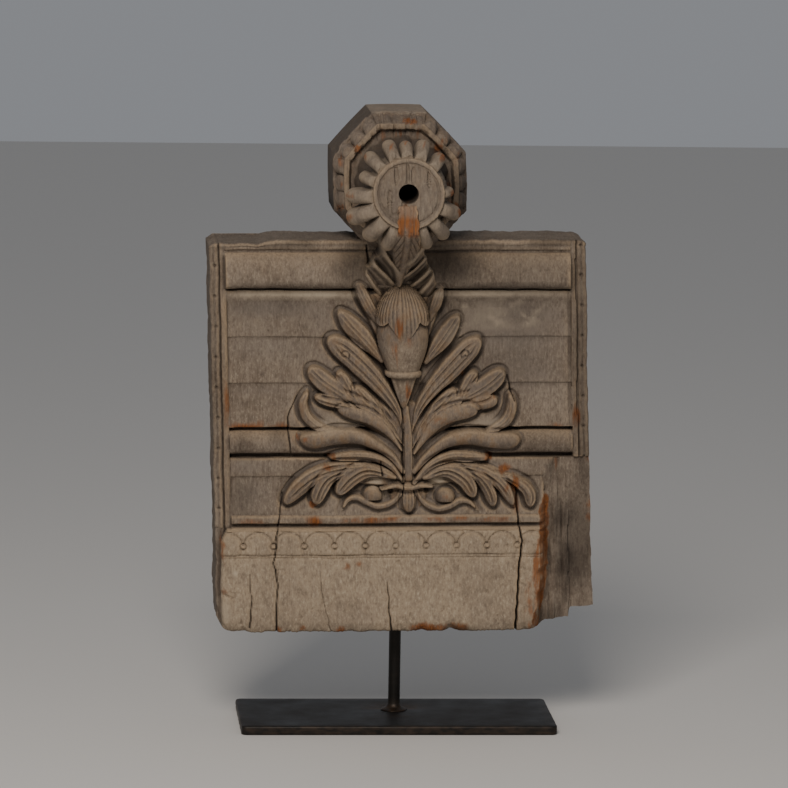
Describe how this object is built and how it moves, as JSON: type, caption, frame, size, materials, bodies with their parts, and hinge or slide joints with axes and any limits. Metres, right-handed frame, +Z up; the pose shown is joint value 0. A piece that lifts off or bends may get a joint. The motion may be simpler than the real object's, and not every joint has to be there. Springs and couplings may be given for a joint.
{
  "type": "carved wooden corbel bracket with lotus pendant on steel stand",
  "caption": "Weathered carved hardwood corbel with stepped mouldings, a leaf spray with a bud, and an octagonal lotus pendant, standing on end on a black steel rod and foot plate",
  "frame": {"origin": "middle of the underside of the foot plate, where the stand rests", "axes": "+Z up, the carved face and pendant towards -Y, +X to the viewer's right"},
  "size_m": [0.3958, 0.2275, 0.6281],
  "materials": {
    "weathered_teak": "dry weathered grey-brown, unvarnished, with worn orange-brown edges",
    "blackened_steel": "blackened, waxed, satin, rubbed brown on the edges"
  },
  "bodies": {
    "root": {"bracket": "weathered_teak", "stand_plate": "blackened_steel", "stand_rod": "blackened_steel"}
  },
  "joints": []
}
